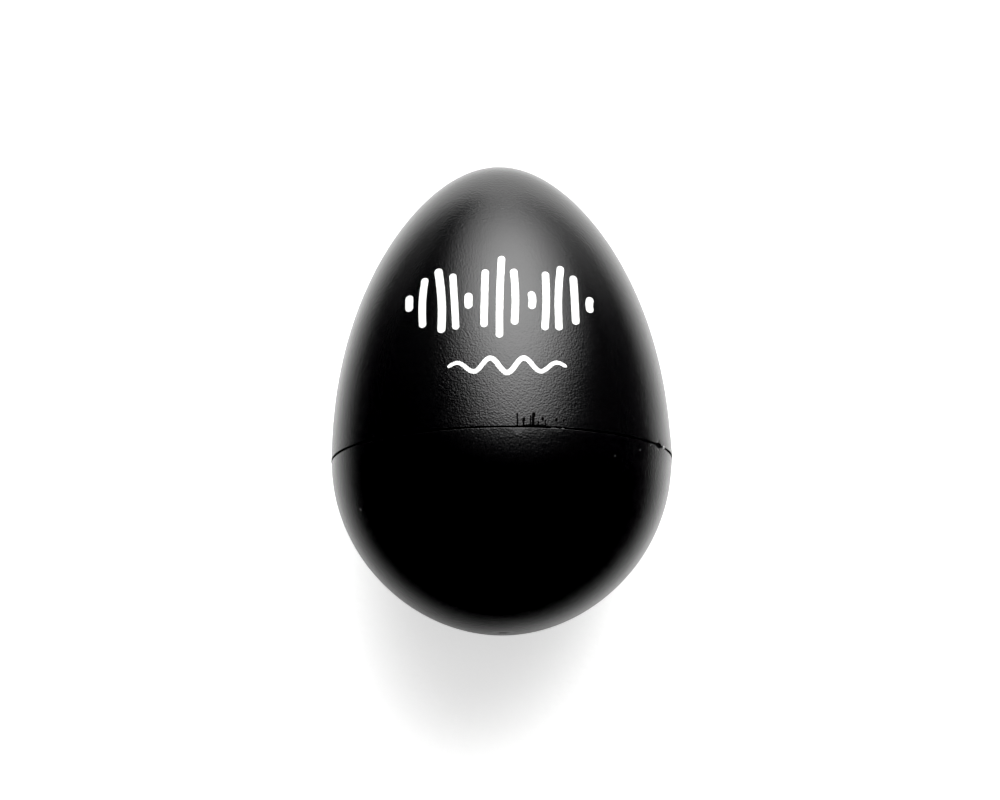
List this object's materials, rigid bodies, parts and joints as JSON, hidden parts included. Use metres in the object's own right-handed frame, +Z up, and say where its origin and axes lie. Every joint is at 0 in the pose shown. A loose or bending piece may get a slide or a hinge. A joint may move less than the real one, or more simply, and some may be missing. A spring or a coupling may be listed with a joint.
{
  "type": "egg shaker",
  "caption": "Hand percussion egg: two cemented black plastic half shells round a loose charge of steel shot.",
  "frame": {"origin": "on the egg's axis, in the parting plane between its two halves, where it is widest", "axes": "+Y along the egg's axis to its pointed end, +Z up as the egg lies on its side, +X across"},
  "size_m": [0.042, 0.059, 0.042],
  "materials": {
    "shell_plastic": "satin",
    "cement": "gloss",
    "shot_steel": "satin"
  },
  "bodies": {
    "egg": {"upper_shell": "shell_plastic", "lower_shell": "shell_plastic", "cement_bead": "cement"},
    "shot_01_pellet": {"shot_01": "shot_steel"},
    "shot_02_pellet": {"shot_02": "shot_steel"},
    "shot_03_pellet": {"shot_03": "shot_steel"},
    "shot_04_pellet": {"shot_04": "shot_steel"},
    "shot_05_pellet": {"shot_05": "shot_steel"},
    "shot_06_pellet": {"shot_06": "shot_steel"},
    "shot_07_pellet": {"shot_07": "shot_steel"},
    "shot_08_pellet": {"shot_08": "shot_steel"},
    "shot_09_pellet": {"shot_09": "shot_steel"},
    "shot_10_pellet": {"shot_10": "shot_steel"},
    "shot_11_pellet": {"shot_11": "shot_steel"},
    "shot_12_pellet": {"shot_12": "shot_steel"},
    "shot_13_pellet": {"shot_13": "shot_steel"},
    "shot_14_pellet": {"shot_14": "shot_steel"},
    "shot_15_pellet": {"shot_15": "shot_steel"},
    "shot_16_pellet": {"shot_16": "shot_steel"},
    "shot_17_pellet": {"shot_17": "shot_steel"},
    "shot_18_pellet": {"shot_18": "shot_steel"},
    "shot_19_pellet": {"shot_19": "shot_steel"},
    "shot_20_pellet": {"shot_20": "shot_steel"},
    "shot_21_pellet": {"shot_21": "shot_steel"},
    "shot_22_pellet": {"shot_22": "shot_steel"},
    "shot_23_pellet": {"shot_23": "shot_steel"},
    "shot_24_pellet": {"shot_24": "shot_steel"},
    "shot_25_pellet": {"shot_25": "shot_steel"},
    "shot_26_pellet": {"shot_26": "shot_steel"},
    "shot_27_pellet": {"shot_27": "shot_steel"},
    "shot_28_pellet": {"shot_28": "shot_steel"},
    "shot_29_pellet": {"shot_29": "shot_steel"},
    "shot_30_pellet": {"shot_30": "shot_steel"},
    "shot_31_pellet": {"shot_31": "shot_steel"},
    "shot_32_pellet": {"shot_32": "shot_steel"},
    "shot_33_pellet": {"shot_33": "shot_steel"},
    "shot_34_pellet": {"shot_34": "shot_steel"},
    "shot_35_pellet": {"shot_35": "shot_steel"},
    "shot_36_pellet": {"shot_36": "shot_steel"},
    "shot_37_pellet": {"shot_37": "shot_steel"},
    "shot_38_pellet": {"shot_38": "shot_steel"},
    "shot_39_pellet": {"shot_39": "shot_steel"},
    "shot_40_pellet": {"shot_40": "shot_steel"}
  },
  "joints": [
    {"name": "shot_01_toss", "type": "slide", "parent": "egg", "child": "shot_01_pellet", "axis": [0, 0, 1], "range_m": [0, 0.033]},
    {"name": "shot_02_toss", "type": "slide", "parent": "egg", "child": "shot_02_pellet", "axis": [0, 0, 1], "range_m": [0, 0.03238]},
    {"name": "shot_03_toss", "type": "slide", "parent": "egg", "child": "shot_03_pellet", "axis": [0, 0, 1], "range_m": [0, 0.03238]},
    {"name": "shot_04_toss", "type": "slide", "parent": "egg", "child": "shot_04_pellet", "axis": [0, 0, 1], "range_m": [0, 0.03187]},
    {"name": "shot_05_toss", "type": "slide", "parent": "egg", "child": "shot_05_pellet", "axis": [0, 0, 1], "range_m": [0, 0.03164]},
    {"name": "shot_06_toss", "type": "slide", "parent": "egg", "child": "shot_06_pellet", "axis": [0, 0, 1], "range_m": [0, 0.03164]},
    {"name": "shot_07_toss", "type": "slide", "parent": "egg", "child": "shot_07_pellet", "axis": [0, 0, 1], "range_m": [0, 0.03163]},
    {"name": "shot_08_toss", "type": "slide", "parent": "egg", "child": "shot_08_pellet", "axis": [0, 0, 1], "range_m": [0, 0.03163]},
    {"name": "shot_09_toss", "type": "slide", "parent": "egg", "child": "shot_09_pellet", "axis": [0, 0, 1], "range_m": [0, 0.03046]},
    {"name": "shot_10_toss", "type": "slide", "parent": "egg", "child": "shot_10_pellet", "axis": [0, 0, 1], "range_m": [0, 0.03046]},
    {"name": "shot_11_toss", "type": "slide", "parent": "egg", "child": "shot_11_pellet", "axis": [0, 0, 1], "range_m": [0, 0.03004]},
    {"name": "shot_12_toss", "type": "slide", "parent": "egg", "child": "shot_12_pellet", "axis": [0, 0, 1], "range_m": [0, 0.03004]},
    {"name": "shot_13_toss", "type": "slide", "parent": "egg", "child": "shot_13_pellet", "axis": [0, 0, 1], "range_m": [0, 0.02953]},
    {"name": "shot_14_toss", "type": "slide", "parent": "egg", "child": "shot_14_pellet", "axis": [0, 0, 1], "range_m": [0, 0.02953]},
    {"name": "shot_15_toss", "type": "slide", "parent": "egg", "child": "shot_15_pellet", "axis": [0, 0, 1], "range_m": [0, 0.02877]},
    {"name": "shot_16_toss", "type": "slide", "parent": "egg", "child": "shot_16_pellet", "axis": [0, 0, 1], "range_m": [0, 0.02872]},
    {"name": "shot_17_toss", "type": "slide", "parent": "egg", "child": "shot_17_pellet", "axis": [0, 0, 1], "range_m": [0, 0.02872]},
    {"name": "shot_18_toss", "type": "slide", "parent": "egg", "child": "shot_18_pellet", "axis": [0, 0, 1], "range_m": [0, 0.02824]},
    {"name": "shot_19_toss", "type": "slide", "parent": "egg", "child": "shot_19_pellet", "axis": [0, 0, 1], "range_m": [0, 0.02719]},
    {"name": "shot_20_toss", "type": "slide", "parent": "egg", "child": "shot_20_pellet", "axis": [0, 0, 1], "range_m": [0, 0.02719]},
    {"name": "shot_21_toss", "type": "slide", "parent": "egg", "child": "shot_21_pellet", "axis": [0, 0, 1], "range_m": [0, 0.02712]},
    {"name": "shot_22_toss", "type": "slide", "parent": "egg", "child": "shot_22_pellet", "axis": [0, 0, 1], "range_m": [0, 0.02712]},
    {"name": "shot_23_toss", "type": "slide", "parent": "egg", "child": "shot_23_pellet", "axis": [0, 0, 1], "range_m": [0, 0.02694]},
    {"name": "shot_24_toss", "type": "slide", "parent": "egg", "child": "shot_24_pellet", "axis": [0, 0, 1], "range_m": [0, 0.02694]},
    {"name": "shot_25_toss", "type": "slide", "parent": "egg", "child": "shot_25_pellet", "axis": [0, 0, 1], "range_m": [0, 0.02663]},
    {"name": "shot_26_toss", "type": "slide", "parent": "egg", "child": "shot_26_pellet", "axis": [0, 0, 1], "range_m": [0, 0.02663]},
    {"name": "shot_27_toss", "type": "slide", "parent": "egg", "child": "shot_27_pellet", "axis": [0, 0, 1], "range_m": [0, 0.02574]},
    {"name": "shot_28_toss", "type": "slide", "parent": "egg", "child": "shot_28_pellet", "axis": [0, 0, 1], "range_m": [0, 0.02574]},
    {"name": "shot_29_toss", "type": "slide", "parent": "egg", "child": "shot_29_pellet", "axis": [0, 0, 1], "range_m": [0, 0.02481]},
    {"name": "shot_30_toss", "type": "slide", "parent": "egg", "child": "shot_30_pellet", "axis": [0, 0, 1], "range_m": [0, 0.02481]},
    {"name": "shot_31_toss", "type": "slide", "parent": "egg", "child": "shot_31_pellet", "axis": [0, 0, 1], "range_m": [0, 0.02277]},
    {"name": "shot_32_toss", "type": "slide", "parent": "egg", "child": "shot_32_pellet", "axis": [0, 0, 1], "range_m": [0, 0.02277]},
    {"name": "shot_33_toss", "type": "slide", "parent": "egg", "child": "shot_33_pellet", "axis": [0, 0, 1], "range_m": [0, 0.02204]},
    {"name": "shot_34_toss", "type": "slide", "parent": "egg", "child": "shot_34_pellet", "axis": [0, 0, 1], "range_m": [0, 0.02204]},
    {"name": "shot_35_toss", "type": "slide", "parent": "egg", "child": "shot_35_pellet", "axis": [0, 0, 1], "range_m": [0, 0.02178]},
    {"name": "shot_36_toss", "type": "slide", "parent": "egg", "child": "shot_36_pellet", "axis": [0, 0, 1], "range_m": [0, 0.02178]},
    {"name": "shot_37_toss", "type": "slide", "parent": "egg", "child": "shot_37_pellet", "axis": [0, 0, 1], "range_m": [0, 0.02171]},
    {"name": "shot_38_toss", "type": "slide", "parent": "egg", "child": "shot_38_pellet", "axis": [0, 0, 1], "range_m": [0, 0.02171]},
    {"name": "shot_39_toss", "type": "slide", "parent": "egg", "child": "shot_39_pellet", "axis": [0, 0, 1], "range_m": [0, 0.02117]},
    {"name": "shot_40_toss", "type": "slide", "parent": "egg", "child": "shot_40_pellet", "axis": [0, 0, 1], "range_m": [0, 0.02108]}
  ]
}
